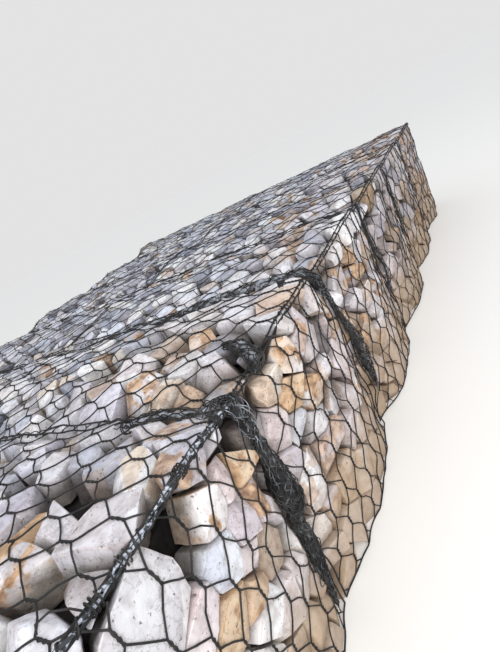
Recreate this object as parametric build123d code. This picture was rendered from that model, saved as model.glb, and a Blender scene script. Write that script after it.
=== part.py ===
from build123d import *
import math
import os

# A free-standing gabion wall: wire baskets filled with broken stone, laid in
# two rows with their long sides across the wall, six baskets to a row.
# X runs along the wall, -Y is the front face, +Z is up, and the origin is on
# the ground under the middle of the wall. All sizes are in millimetres.

# Baskets
bay_count = 6
basket_width = 1000.0
basket_length = 2000.0
basket_height = 1000.0
fill_gap = 0.6

# Rock fill: face and top swell between the joints and are drawn in at them
face_bulge = 55.0
top_bulge = 45.0
groove_depth = 42.0
crest_bevel = 40.0

# Ridges of the swollen sides, counted in mesh columns from the bay's middle
ridge_columns = (1.5, 4.5)

# Hexagonal woven mesh of the faces, of wires that zigzag up the face
wire_radius = 2.9
wire_count = 15
mesh_rows = 8
twist_length = 52.0
twist_clearance = 0.4
joint_margin = 12.0
ground_margin = 8.0
seat_gap = 0.3

# Heavier wire round the edge of every panel
selvedge_radius = 3.6
selvedge_drop = 13.0

# Lacing wire wound round the two edge wires of each crest
lacing_radius = 2.4
turn_sides = 4

# Pleated bunch of spare mesh that stands in each joint of the front face
fold_count = 4
fold_width = 64.0
fold_sheet = 6.0
fold_reach = 22.0
fold_drop = 70.0
fold_lift = 130.0
fold_tip = 28.0
belly_bottom = 320.0
belly_top = 600.0

# Wires and the mass of stone are built to these
wire_sides = 3
half_width = basket_width / 2
wall_length = bay_count * basket_width
panel_half = half_width - joint_margin
column_step = 2 * panel_half / wire_count
flank = panel_half - column_step
groove_slope = groove_depth / (half_width - flank)
ridges = [column_step * columns for columns in ridge_columns] + [flank]

# Wire lines, measured outwards from the fill and up from the ground. A wire
# has an edge outwards and a flat side towards the fill.
flat_share = math.cos(math.pi / wire_sides)
woven_stand_off = flat_share * wire_radius + 2 * seat_gap
woven_outside = woven_stand_off + wire_radius
frame_stand_off = woven_outside + seat_gap + flat_share * selvedge_radius
lid_stand_off = flat_share * selvedge_radius + seat_gap
coil_lift = (lid_stand_off - selvedge_drop) / 2 - 2 * seat_gap
coil_reach = math.hypot(frame_stand_off, lid_stand_off + selvedge_drop) / 2
coil_radius = (coil_reach + selvedge_radius + lacing_radius - 3 * seat_gap) / math.cos(math.pi / turn_sides)


def bay_centre(bay):
    """Place of a bay's middle along the wall."""
    return (bay + 0.5) * basket_width - wall_length / 2


def swollen_half(bulge):
    """Corners of half a swollen side, from the bay's middle: place and how far out."""
    middle_share = 1 - (ridges[0] / flank) ** 2
    crown = [(x, bulge * (1 - (x / flank) ** 2) / middle_share) for x in ridges]
    return [(0, bulge)] + crown + [(half_width, -groove_depth)]


def lie(x, bulge):
    """How far a side stands out and how steep it is, x from the bay's middle."""
    corners = swollen_half(bulge)
    for (start, low), (end, high) in zip(corners, corners[1:]):
        slope = (high - low) / (end - start)
        if abs(x) < end:
            break
    return low + (abs(x) - start) * slope, slope


def swell(x, bulge, stand_off=0.0):
    """How far a point over the face or top stands out, x from the bay's middle."""
    out, slope = lie(x, bulge)
    return out + stand_off * math.hypot(1, slope)


def face_point(x, z, stand_off=0.0):
    """Point over the swollen front face, x from the bay's middle."""
    return (x, -basket_length - swell(x, face_bulge, stand_off), z)


def top_level(x, stand_off=0.0):
    """Height of a point over the swollen top, x from the bay's middle."""
    return basket_height + swell(x, top_bulge, stand_off)


def outwards(x):
    """Direction square to the front face, x from the bay's middle."""
    return (math.copysign(lie(x, face_bulge)[1], x), -1, 0)


def stations():
    """Places across a panel where its edge wires bend to follow the swell."""
    right = ridges + [panel_half]
    return [-x for x in reversed(right)] + right


def tube(rings, closed):
    """Solid whose sides join each ring of corners to the next, open rings capped."""
    pairs = list(zip(rings, rings[1:]))
    if closed:
        pairs[-1] = (rings[-2], rings[0])
    sides = []
    for ring, following in pairs:
        for here, corner in enumerate(ring):
            beside = (here + 1) % len(ring)
            sides.append([corner, ring[beside], following[beside], following[here]])
    caps = [] if closed else [rings[0][::-1], rings[-1]]
    return Solid(Shell([Face(Wire.make_polygon(corners, close=True)) for corners in sides + caps]))


def wire_bar(points, radius, edge_side=(0, -1, 0), closed=False):
    """Wire of few sides along straight runs, mitred at each bend."""
    points = [Vector(*point) for point in points]
    if closed:
        start = (points[0] + points[-1]) / 2
        points = [start] + points + [start]
    runs = [(end - start).normalized() for start, end in zip(points, points[1:])]
    section = Plane(origin=points[0], x_dir=edge_side, z_dir=runs[0])
    turns = [2 * math.pi * side / wire_sides for side in range(wire_sides)]
    spokes = [section.x_dir * math.cos(turn) + section.y_dir * math.sin(turn) for turn in turns]
    rings = [[points[0] + spoke * radius for spoke in spokes]]
    for run, ahead, centre in zip(runs, runs[1:] + runs[-1:], points[1:]):
        mitre = (run + ahead).normalized()
        rings.append([corner + run * ((centre - corner).dot(mitre) / run.dot(mitre)) for corner in rings[-1]])
    return tube(rings, closed)


def swollen_section(depth, bulge, start):
    """Section of one basket's stone, swollen outside and drawn in at both joints."""
    joint = half_width - fill_gap / 2
    crown = [(x, depth + out) for x, out in swollen_half(bulge)[1:-1]]
    right = crown + [(joint, depth + swell(joint, bulge)), (joint, start)]
    left = [(-x, level) for x, level in reversed(right)]
    return make_face(Polyline(*right, *left, close=True))


def crest_corners():
    """Corners of the line where top and face meet, from joint to joint."""
    halves = zip(swollen_half(face_bulge), swollen_half(top_bulge))
    right = [(x, -basket_length - out, basket_height + rise) for (x, out), (x, rise) in halves][1:]
    left = [(-x, y, z) for x, y, z in reversed(right)]
    return [Vector(*corner) for corner in left + right]


def rock_fill():
    """Stone mass of one basket, with a plane cut off along each run of its crest."""
    facing_front = Plane(origin=(0, 0, 0), x_dir=(1, 0, 0), z_dir=(0, 0, -1))
    plan = facing_front * swollen_section(basket_length, face_bulge, fill_gap / 2)
    profile = Plane.XZ * swollen_section(basket_height, top_bulge, 0)
    column = extrude(plan, 2 * basket_height, dir=(0, 0, 1))
    block = column & extrude(profile, 2 * basket_length, dir=(0, -1, 0))
    inwards = Vector(0, crest_bevel / 2, -crest_bevel / 2)
    crest = crest_corners()
    for start, end in zip(crest, crest[1:]):
        across = (end - start).cross(Vector(0, 1, 1))
        bevel = Plane(origin=(start + end) / 2 + inwards, z_dir=across)
        block = split(block, bisect_by=bevel, keep=Keep.BOTTOM)
    return block


def woven_wire(number):
    """One zigzag wire, which twists with its left and right neighbours by turns."""
    left = -panel_half + number * column_step
    middle = left + column_step / 2
    pair_offset = wire_radius * math.sin(2 * math.pi / wire_sides) + twist_clearance / 2
    points = [face_point(middle, ground_margin, woven_stand_off)]
    for row in range(mesh_rows):
        leans_right = (number + row) % 2
        x = left + pair_offset + leans_right * (column_step - 2 * pair_offset)
        row_pitch = (top_level(left + leans_right * column_step) - selvedge_drop - ground_margin) / mesh_rows
        height = ground_margin + (row + 0.5) * row_pitch
        points.append(face_point(x, height - twist_length / 2, woven_stand_off))
        points.append(face_point(x, height + twist_length / 2, woven_stand_off))
    points.append(face_point(middle, top_level(middle) - selvedge_drop, woven_stand_off))
    return wire_bar(points, wire_radius, outwards(middle))


def face_frame():
    """Edge wires round a face panel, in one closed run."""
    lower = [face_point(x, ground_margin, frame_stand_off) for x in stations()]
    upper = [face_point(x, top_level(x) - selvedge_drop, frame_stand_off) for x in reversed(stations())]
    return wire_bar(lower + upper, selvedge_radius, closed=True)


def woven_panel():
    """Hexagonal mesh of one face with its edge wires."""
    wires = [woven_wire(number) for number in range(wire_count)]
    return Compound(children=wires + [face_frame()])


def lid_point(x, y):
    """Point on the line of a lid's edge wire."""
    return (x, y, top_level(x, lid_stand_off))


def lid_frame():
    """Edge wires of one basket's lid, along the crest and round the other sides."""
    crest = [lid_point(x, -basket_length - swell(x, face_bulge)) for x in stations()]
    back = [lid_point(x, -joint_margin) for x in reversed(stations())]
    return wire_bar(crest + back, selvedge_radius, (-groove_slope, 0, 1), closed=True)


def crest_lacing():
    """Lacing wire round the lid's and the face's edge wires, one turn to a mesh."""
    count = (wire_count - 2) * turn_sides // 2
    points = []
    for step in range(count + 1):
        x = -flank + step * 2 * column_step / turn_sides
        angle = 2 * math.pi * (step / turn_sides - 0.25)
        stand_off = frame_stand_off / 2 + coil_radius * math.cos(angle)
        points.append(face_point(x, top_level(x) + coil_lift + coil_radius * math.sin(angle), stand_off))
    return wire_bar(points, lacing_radius)


def joint_fold():
    """Spare mesh of two baskets, pleated against their faces and widest at its belly."""
    edge = swell(half_width - fold_width / 2, face_bulge, woven_outside + seat_gap)
    root = -basket_length - edge
    back = []
    for fold in range(2 * fold_count + 1):
        x = fold_width * (fold / (2 * fold_count) - 0.5)
        back.append((x, root - fold_reach * (fold % 2)))
    front = [(x, y - fold_sheet) for x, y in reversed(back)]
    pleats = make_face(Polyline(*back, *front, close=True))
    sheet = extrude(pleats, basket_height, dir=(0, 0, 1))
    right = [(fold_tip / 2, fold_lift), (fold_width / 2, belly_bottom)]
    right += [(fold_width / 2, belly_top), (fold_tip / 2, basket_height - fold_drop)]
    left = [(-x, z) for x, z in reversed(right)]
    spindle = make_face(Polyline(*right, *left, close=True))
    return sheet & extrude(Plane.XZ * spindle, 2 * basket_length, dir=(0, -1, 0))


def end_frame():
    """Edge wires of a mesh panel that closes the near end of a front basket."""
    x = -wall_length / 2 + fill_gap / 2 - flat_share * selvedge_radius - seat_gap
    outer = -basket_length + groove_depth + joint_margin
    upper = basket_height - groove_depth - joint_margin
    base = [(x, -joint_margin, ground_margin), (x, outer, ground_margin)]
    head = [(x, outer, upper), (x, -joint_margin, upper)]
    return wire_bar(base + head, selvedge_radius, (-1, 0, 0), closed=True)


def with_rear(piece):
    """A front piece and its like on the rear row."""
    return Compound(children=[piece, mirror(piece, about=Plane.XZ)])


def save(piece, name):
    export_step(piece, f"parts/{name}.step")


os.makedirs("parts", exist_ok=True)
front_fill = rock_fill()
rear_fill = mirror(front_fill, about=Plane.XZ)
front_mesh = woven_panel()
back_frame = mirror(face_frame(), about=Plane.XZ)
lid_frames = with_rear(lid_frame())
lacing = with_rear(crest_lacing())
fold = joint_fold()
near_end = with_rear(end_frame())
far_end = mirror(near_end, about=Plane.YZ)

for bay in range(bay_count):
    place = Pos(bay_centre(bay), 0, 0)
    number = bay + 1
    save(place * front_fill, f"front_fill_{number}")
    save(place * rear_fill, f"rear_fill_{number}")
    save(place * front_mesh, f"front_mesh_{number}")
    save(place * back_frame, f"back_frame_{number}")
    save(place * lid_frames, f"lid_frames_{number}")
    save(place * lacing, f"crest_lacing_{number}")
    if bay:
        save(Pos(bay_centre(bay) - half_width, 0, 0) * fold, f"joint_fold_{bay}")

save(near_end, "near_end_frames")
save(far_end, "far_end_frames")
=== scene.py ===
"""A gabion wall: angular stone behind hexagonal wire mesh, laced along its crests."""

import math
import random

import bmesh
import bpy
import numpy as np
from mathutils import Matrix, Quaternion, Vector, noise
from mathutils.bvhtree import BVHTree


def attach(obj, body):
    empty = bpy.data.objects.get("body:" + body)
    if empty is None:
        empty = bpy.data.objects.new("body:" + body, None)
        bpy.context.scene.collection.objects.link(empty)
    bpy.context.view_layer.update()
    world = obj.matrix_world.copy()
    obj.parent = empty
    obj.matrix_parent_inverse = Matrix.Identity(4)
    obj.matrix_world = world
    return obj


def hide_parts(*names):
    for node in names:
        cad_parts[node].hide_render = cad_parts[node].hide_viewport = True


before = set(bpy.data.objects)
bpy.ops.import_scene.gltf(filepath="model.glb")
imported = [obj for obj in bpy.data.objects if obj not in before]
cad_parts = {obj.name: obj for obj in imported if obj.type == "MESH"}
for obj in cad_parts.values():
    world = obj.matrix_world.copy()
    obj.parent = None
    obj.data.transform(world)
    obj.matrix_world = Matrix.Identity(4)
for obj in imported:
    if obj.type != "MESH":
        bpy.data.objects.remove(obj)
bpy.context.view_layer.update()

# Sizes of the wall's solids, in metres
BAYS = 6
BAY = 1.0
ROW = 2.0
HEIGHT = 1.0
FACE_BULGE = 0.055
TOP_BULGE = 0.045
GROOVE = 0.042
FLANK = 0.423
HALF = BAY / 2
WALL_END = BAYS * BAY / 2

# How the stones are packed
FACE_SPACING = 0.118
NEAR_TOP_SPACING = 0.142
FAR_TOP_SPACING = 0.108
CREST_BAND = 0.12
FIRST_BOUNDARY = -0.1
LAST_BOUNDARY = -1.3
THROWS = 520
STONE_SEED = 40
STONE_DEPTHS = (0.05, 0.085)
SIZE_SPREAD = (0.74, 1.22)
SIDE_MARGIN = 0.045
OUTER_MARGIN = 0.04
TOP_MARGIN = 0.03
MARKED_DEPTH = 0.062
UNEVENNESS = 0.013
CORE_INSET = 0.125
CORE_GAP = 0.01

# How a stone is broken
BLOCK = 0.5
BASKET_GAP = 0.004
NEIGHBOURS = 16
NEIGHBOUR_REACH = 0.3
NEIGHBOUR_LEAN = 0.14
LEAST_GAP = 0.001
STONE_GAP = 0.009
TOP_STONE_GAP = 0.016
TOP_LAYER = 0.9
LEAST_CUT = 0.0005
LEAST_FACES = 6
RECESS = 0.012
SUNK_RECESS = (0.012, 0.045)
SUNK_ON_TOP = 0.24
SUNK_ON_SIDE = 0.15
BROAD_FACET = (1, 10)
NARROW_FACET = (16, 44)
BACK_REACH = 0.12
BACK_DEPTHS = (0.06, 0.09)
# Of far, middling and near stones: what is merged as a sliver, the width of the edges and their segments
FINENESS = ((0.014, 0.005, 1), (0.012, 0.006, 1), (0.009, 0.006, 2))
SIGHT_START = -2.95
NEAR_STONES = 2.3
MIDDLING_STONES = 4.2
LONGEST_EDGES = (0.045, 0.028)

# Mesh
COLUMNS = 15
FACE_ROWS = 8
TOP_ROWS = 16
TWIST = 0.052
HALF_TURNS = 3
WIRE = 0.0026
FAR_WIRE = 0.0023
TWIST_GAP = 0.0024
WANDER = 0.025
HOLD = 0.08
EDGE_MARGIN = 0.012
END_MARGIN = 0.02
END_DROP = 0.03
FOOT = 0.012
RASTER = 0.01
DEEP = -0.12
# How far the mesh reaches between stones, in raster steps, and how sharply it may bend
MESH_REACH, MESH_BEND = 17, 2.0
CREST_REACH, CREST_BEND = 18, 1.8

# Edge wires and lacing
EDGE_WIRE = 0.0036
EDGE_APART = 0.0085
LACING = 0.0023
LACING_PITCH = 0.048
LACING_OUT = 0.0125
LACING_IN = 0.0135
JOINT_PITCH = 0.07
JOINT_ACROSS = 0.018
JOINT_UP = 0.008
# Where the first crest's lacing is wound tight, along X
KNOTS = (-2.645, -2.55, -2.32, -2.09)

# The pale wires inside that lacing
ROD_START = -2.985
ROD_LENGTH = 0.985
ROD_STEPS = 240
ROD_TWIST = 0.125
ROD_WIRE = 0.0043
ROD_REACH = 0.0056

# Wires of the bunches, and the length of a step along them
DARK_STRAND = 0.002
PALE_STRAND = 0.0016
LOOSE_WIRE = 0.0014
END_WIRE = 0.0024
BODY_STEP = 0.014
NEAR_STRAND_STEP = 0.018
FAR_STRAND_STEP = 0.04
LOOSE_STEP = 0.012

CAMERA_PLACE = Vector((-2.9214, -2.8484, 1.6086))
CAMERA_TURN = (68.196, 26.838, -64.905)
CAMERA_LENS = 24.85
LAMP_PLACE = (-6.2, -6.6, 6.0)
LAMP_AIM = Vector((-0.5, -1.0, 0.5))
LAMP_SIZE = 5.0
LAMP_POWER = 590
FLOOR_GLOW = 0.145


def bay_middle(bay):
    return (bay + 0.5) * BAY - WALL_END


def swell(x, bulge):
    """How far a side stands out, x from the bay's middle."""
    across = min(abs(x), HALF)
    if across > FLANK:
        return (FLANK - across) * GROOVE / (HALF - FLANK)
    return bulge * (1 - (across / FLANK) ** 2)


def slope(x, bulge):
    """How steeply a swollen side rises, x from the bay's middle."""
    step = 0.01
    return (swell(x + step, bulge) - swell(x - step, bulge)) / (2 * step)


def smooth(value, low, high):
    share = min(max((value - low) / (high - low), 0.0), 1.0)
    return share * share * (3 - 2 * share)


def select_only(piece):
    bpy.ops.object.select_all(action="DESELECT")
    piece.select_set(True)
    bpy.context.view_layer.objects.active = piece


# Places of the stones


class Basket:
    """One basket of the wall: its place and the sides that show."""

    def __init__(self, bay, row):
        self.bay, self.row = bay, row
        self.middle = bay_middle(bay)
        self.at_end = bay in (0, BAYS - 1)
        self.name = ("front", "rear")[row > 0] + f"_fill_{bay + 1}"
        self.random = random.Random(STONE_SEED + 2 * bay + (row > 0))
        self.shift = Vector((self.random.uniform(-9, 9), self.random.uniform(-9, 9), 0))

    def unevenness(self, point):
        """Slow swelling that differs from basket to basket."""
        return UNEVENNESS * noise.noise(point * 2.4 + self.shift)

    def outer_planes(self, point):
        """(point, normal, side) of each side that shows, near a place in the basket."""
        x = point.x - self.middle
        reach = self.row * (ROW + swell(x, FACE_BULGE) + self.unevenness(point))
        out = Vector((-slope(x, FACE_BULGE), self.row, 0)).normalized()
        level = HEIGHT + swell(x, TOP_BULGE) + self.unevenness(point)
        up = Vector((-slope(x, TOP_BULGE), 0, 1)).normalized()
        planes = [(Vector((point.x, reach, point.z)), out, "face")]
        planes.append((Vector((point.x, point.y, level)), up, "top"))
        for bay, way in ((0, -1), (BAYS - 1, 1)):
            if self.bay == bay:
                planes.append((Vector((way * WALL_END, point.y, point.z)), Vector((way, 0, 0)), "end"))
        return planes

    def inner_planes(self):
        """Planes that no stone of this basket crosses: ground, partition, joints."""
        planes = [(Vector((0, 0, 0)), Vector((0, 0, -1)))]
        planes.append((Vector((0, self.row * BASKET_GAP, 0)), Vector((0, -self.row, 0))))
        for way in (-1, 1):
            if 0 <= self.bay + way < BAYS:
                joint = self.middle + way * HALF - way * BASKET_GAP
                planes.append((Vector((joint, 0, 0)), Vector((way, 0, 0))))
        return planes


def boundary(x):
    """Where along Y the coarse pale stones of the top give way to finer greyish ones."""
    return FIRST_BOUNDARY + (LAST_BOUNDARY - FIRST_BOUNDARY) * smooth(x, -2.6, -1.2)


def spacing(place, side):
    """Usual distance between neighbouring stones."""
    if side != "top" or abs(place.y) > ROW - CREST_BAND:
        return FACE_SPACING
    return NEAR_TOP_SPACING if place.y < boundary(place.x) else FAR_TOP_SPACING


# (x, level, size, tone) of stones that stand out, and of gaps where one has fallen.
# The level is z on the face and y on the lid. At the crest it has no meaning.
MARKED_STONES = {
    "face": (
        (-2.405, 0.915, 0.085, "gap"), (-2.44, 0.85, 0.07, "gap"), (-2.055, 0.88, 0.06, "gap"),
        (-1.945, 0.9, 0.055, "gap"), (-0.92, 0.86, 0.085, "gap"), (-1.06, 0.93, 0.08, "gap"),
        (-1.552, 0.786, 0.048, "gap"), (-1.473, 0.617, 0.05, "gap"), (-2.09, 0.47, 0.05, "gap"),
        (-0.5, 0.7, 0.07, "gap"), (0.15, 0.85, 0.07, "gap"),
        (-2.12, 0.813, 0.09, "ochre"), (-2.2, 0.85, 0.09, "pink"), (-2.319, 0.868, 0.105, "rusty"),
        (-2.232, 0.742, 0.12, "pink"), (-2.371, 0.752, 0.105, "blue"), (-2.288, 0.645, 0.085, "pink"),
        (-2.34, 0.58, 0.085, "ochre"), (-2.44, 0.637, 0.12, "ochre"), (-2.343, 0.5, 0.1, "white"),
        (-2.575, 0.87, 0.185, "white"), (-2.51, 0.745, 0.11, "pink"),
        (-1.708, 0.787, 0.14, "ochre"), (-1.777, 0.898, 0.1, "cream"), (-1.74, 0.66, 0.1, "blue"),
        (-1.64, 0.89, 0.11, "rusty"), (-1.6, 0.7, 0.11, "rusty"),
    ),
    "lid": (
        (-2.311, -1.275, 0.11, "gap"), (-2.342, -1.521, 0.09, "gap"), (-2.39, -1.715, 0.07, "gap"),
        (-1.613, -0.979, 0.12, "gap"), (-1.563, -1.087, 0.11, "gap"), (-2.11, -1.56, 0.08, "gap"),
        (-0.641, -1.037, 0.11, "gap"), (-1.235, -1.027, 0.11, "gap"), (-1.9, -0.89, 0.1, "gap"),
        (-2.65, -1.75, 0.07, "gap"), (-0.3, -1.5, 0.1, "gap"), (-1.42, -1.6, 0.08, "gap"),
        (-2.518, -1.556, 0.12, "ochre"), (-2.6, -1.68, 0.11, "rusty"), (-1.868, -1.603, 0.12, "cream"),
        (-2.3, -1.83, 0.12, "white"),
    ),
    "crest": (
        (-1.769, 0, 0.07, "gap"),
        (-0.75, 0, 0.12, "white"), (-0.55, 0, 0.14, "white"), (-0.33, 0, 0.14, "white"),
    ),
}


def marked_places(basket):
    """(middle, size, tone) of the basket's stones and gaps that have a place of their own."""
    marked = []
    for side, rows in MARKED_STONES.items():
        for x, level, size, tone in rows:
            across = x - basket.middle
            if basket.row > 0 or abs(across) > HALF:
                continue
            face = -(ROW + swell(across, FACE_BULGE) - MARKED_DEPTH)
            lid = HEIGHT + swell(across, TOP_BULGE) - MARKED_DEPTH
            place = Vector((x, level if side == "lid" else face, level if side == "face" else lid))
            marked.append((place, size, tone))
    return marked


def stone_places(basket):
    """(middle, size, tone) of the stones that show, thrown at random but never too near each other."""
    draw = basket.random
    sides = ["face"] * 2 + ["top"] * 4 + (["end"] * 4 if basket.at_end else [])
    marked = marked_places(basket)
    places = np.array([tuple(place) for place, size, tone in marked]).reshape(-1, 3)
    sizes = np.array([size for place, size, tone in marked])
    for attempt in range(THROWS * len(sides)):
        side = draw.choice(sides)
        depth = draw.uniform(*STONE_DEPTHS)
        across = draw.uniform(-HALF + SIDE_MARGIN, HALF - SIDE_MARGIN)
        x = basket.middle + across
        y = basket.row * draw.uniform(SIDE_MARGIN, ROW - OUTER_MARGIN)
        z = draw.uniform(SIDE_MARGIN, HEIGHT - TOP_MARGIN)
        if side == "face":
            y = basket.row * (ROW + swell(across, FACE_BULGE) - depth)
        elif side == "top":
            z = HEIGHT + swell(across, TOP_BULGE) - depth
        else:
            x = math.copysign(WALL_END - depth, basket.middle)
        place = Vector((x, y, z))
        size = spacing(place, side) * draw.uniform(*SIZE_SPREAD)
        if np.all(np.linalg.norm(places - np.array(place), axis=1) > (sizes + size) / 2):
            places = np.vstack((places, np.array(place)))
            sizes = np.append(sizes, size)
    tones = [tone for place, size, tone in marked]
    tones.extend([None] * (len(sizes) - len(marked)))
    return [(Vector(place), size, tone) for place, size, tone in zip(places, sizes, tones)]


# Shapes of the stones


def leaning(normal, angle, draw):
    """A direction at an angle from another, and the way it leans."""
    way = Quaternion(normal, draw.uniform(0, 2 * math.pi)) @ normal.orthogonal().normalized()
    return normal * math.cos(angle) + way * math.sin(angle), way


def cut(stone, middle, place, normal):
    """Slices off what lies beyond a plane and closes the cut."""
    corners = bmesh.from_edit_mesh(stone.data).verts
    start = middle - place
    if max((corner.co + start).dot(normal) for corner in corners) < LEAST_CUT:
        return
    bpy.ops.mesh.select_all(action="SELECT")
    bpy.ops.mesh.bisect(plane_co=place, plane_no=normal, use_fill=True, clear_outer=True)


def carve_stone(basket, middle, size, neighbours, fineness):
    """One broken stone, cut from a block against its neighbours and the basket's sides."""
    draw = basket.random
    bpy.ops.object.select_all(action="DESELECT")
    bpy.ops.mesh.primitive_cube_add(size=BLOCK, location=middle)
    stone = bpy.context.object
    bpy.ops.object.mode_set(mode="EDIT")
    for other, other_size in neighbours:
        between = other - middle
        share = size / (size + other_size)
        # Seeded by both places, so that the two stones lean along the same plane
        pair = random.Random(round((middle.x + other.x) * 1e6) + round((middle.z + other.z) * 1e5))
        lean, way = leaning(between.normalized(), pair.uniform(0, NEIGHBOUR_LEAN), pair)
        lean = lean if lean.dot(between) > 0 else -lean
        gap = draw.uniform(LEAST_GAP, TOP_STONE_GAP if middle.z > TOP_LAYER else STONE_GAP)
        cut(stone, middle, middle + between * share - lean * gap, lean)
    for spot, normal in basket.inner_planes():
        cut(stone, middle, spot, normal)
    for spot, normal, side in basket.outer_planes(middle):
        if (spot - middle).dot(normal) < BLOCK / 2:
            shape_outside(stone, middle, size, spot, normal, draw)
    trim_stone(stone, fineness, draw)
    bpy.ops.object.mode_set(mode="OBJECT")
    return stone


def shape_outside(stone, middle, size, spot, normal, draw):
    """Breaks the side of a stone that faces out into one broad facet and some narrow ones."""
    recess = draw.uniform(0.0, RECESS)
    if draw.random() < (SUNK_ON_TOP if normal.z > 0.9 else SUNK_ON_SIDE):
        recess += draw.uniform(*SUNK_RECESS)
    spot = spot - normal * recess
    facing, way = leaning(normal, math.radians(draw.uniform(*BROAD_FACET)), draw)
    cut(stone, middle, spot, facing)
    for facet in range(draw.choice((1, 1, 2, 2, 3))):
        lean, way = leaning(normal, math.radians(draw.uniform(*NARROW_FACET)), draw)
        cut(stone, middle, spot + way * size / 2 * draw.uniform(0.15, 0.75), lean)
    if (spot - middle).dot(normal) < BACK_REACH:
        behind, way = leaning(-normal, draw.uniform(0, 0.3), draw)
        cut(stone, middle, middle - normal * draw.uniform(*BACK_DEPTHS), behind)


def trim_stone(stone, fineness, draw):
    """Merges slivers, rounds the edges and splits up what is seen from near."""
    sliver, edge_width, segments = FINENESS[fineness]
    bpy.ops.mesh.select_all(action="SELECT")
    bpy.ops.mesh.remove_doubles(threshold=sliver)
    bpy.ops.mesh.bevel(offset=edge_width * draw.uniform(0.6, 1.3), segments=segments, affect="EDGES",
                       clamp_overlap=True)
    if fineness < 2:
        return
    bpy.ops.mesh.quads_convert_to_tris()
    bpy.ops.mesh.select_mode(type="EDGE")
    for longest in LONGEST_EDGES:
        inside = bmesh.from_edit_mesh(stone.data)
        for edge in inside.edges:
            edge.select = edge.calc_length() > longest
        inside.select_flush_mode()
        bpy.ops.mesh.subdivide(number_cuts=1)
        bpy.ops.mesh.select_all(action="SELECT")
        bpy.ops.mesh.quads_convert_to_tris()
    bpy.ops.mesh.select_mode(type="VERT")


def seen_fineness(basket, middle):
    """2 for stones near the camera, 1 for middling ones and 0 for far ones."""
    distance = (middle - CAMERA_PLACE).length
    in_sight = basket.row < 0 and middle.x > SIGHT_START
    if in_sight and distance < NEAR_STONES:
        return 2
    return 1 if distance < MIDDLING_STONES else 0


# Colours of the stones

# Tones of the marked stones: red, green, blue and the share of rusty stain
TONES = {
    "white": (0.82, 0.81, 0.80, 0.0),
    "ochre": (0.66, 0.51, 0.36, 0.9),
    "rusty": (0.80, 0.76, 0.74, 1.0),
    "cream": (0.78, 0.70, 0.60, 0.5),
    "pink": (0.79, 0.72, 0.73, 0.1),
    "blue": (0.74, 0.77, 0.82, 0.1),
}
# (weight, colour) of all other stones, by where they lie
PALETTES = {
    "face": (
        (40, (0.80, 0.77, 0.785)), (28, (0.71, 0.65, 0.66)), (12, (0.58, 0.56, 0.60)),
        (8, (0.66, 0.54, 0.43)), (7, (0.56, 0.46, 0.37)), (5, (0.36, 0.33, 0.32)),
    ),
    "near top": (
        (16, (0.80, 0.79, 0.80)), (34, (0.74, 0.73, 0.76)), (22, (0.62, 0.61, 0.66)),
        # The last tone of this row, dark brownish grey, is painted shade: stones in shadow among the pale
        # ones
        (14, (0.48, 0.49, 0.55)), (10, (0.70, 0.58, 0.49)), (4, (0.26, 0.25, 0.26)),
    ),
    "far top": (
        (46, (0.77, 0.79, 0.84)), (32, (0.64, 0.67, 0.75)), (15, (0.44, 0.47, 0.55)),
        # The last tone of this row, near black, is painted shade standing in for the dark gaps between the
        # stones
        (2, (0.64, 0.58, 0.54)), (5, (0.18, 0.19, 0.23)),
    ),
}
# How far a palette's colours are lightened or darkened, and how much of the rust shows
LIGHTS = {"face": (0.86, 1.08), "near top": (0.86, 1.08), "far top": (0.76, 1.2)}
RUSTS = {"face": 1.0, "near top": 0.35, "far top": 0.1}
FAR_FACE_SHADE = 0.24
PALEST_STONE = 0.84
PALEST_FACET = 0.83
CLEAN_BREAK = (1.0, 1.0, 1.0)
FRESH_BREAK = (1.06, 1.06, 1.07)
OLD_BREAKS = ((0.80, 0.80, 0.83), (0.88, 0.77, 0.65), (0.93, 0.89, 0.87))
# Near black: painted shade for the unlit stones deep inside a basket
CORE_SHADE_COLOUR = (0.03, 0.027, 0.025, 0.0)
# Painted shade with some dirt between the stones, darker the deeper a place lies: its share, the depths where
# it starts and is full, and the powers that tint it brown
SHADE_AND_DIRT, SHADE_AND_DIRT_START, SHADE_AND_DIRT_FULL = 0.72, 0.024, 0.075
SHADE_AND_DIRT_TINT = (1.0, 1.07, 1.16)
# What the far stretch of the face adds to the share and takes off the depths
FAR_SHADE_AND_DIRT, FAR_START, FAR_FULL = 0.12, 0.012, 0.020


def stone_colour(place, side, draw):
    """Colour of one stone with its share of rusty stain."""
    kind = "face"
    if side == "top":
        edge = boundary(place.x) + 0.4 * noise.noise(place * 1.3)
        kind = "near top" if place.y < edge else "far top"
    palette = PALETTES[kind]
    colour = draw.choices([tone for weight, tone in palette], [weight for weight, tone in palette])[0]
    light = draw.uniform(*LIGHTS[kind])
    rusty = (0.34 + 0.9 * noise.noise(place * 1.6 + Vector((3.1, 0, 0)))) * RUSTS[kind]
    if kind == "face":
        light *= 1 - FAR_FACE_SHADE * smooth(place.x, -1.2, 0.8)
    else:
        rusty += 0.5 * smooth(place.x, -0.4, 0.6) * smooth(-place.y, 1.3, 1.7)
    stain = draw.uniform(0.45, 1.0) if draw.random() < rusty else draw.uniform(0, 0.15)
    return (*(min(channel * light, PALEST_STONE) for channel in colour), stain)


def facet_tint(normal, seed, old):
    """Freshly broken facets of a stone are paler, old ones have weathered."""
    age = noise.noise(normal * 1.05 + seed)
    if age > 0.1:
        return old
    return FRESH_BREAK if age < -0.2 else CLEAN_BREAK


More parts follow.
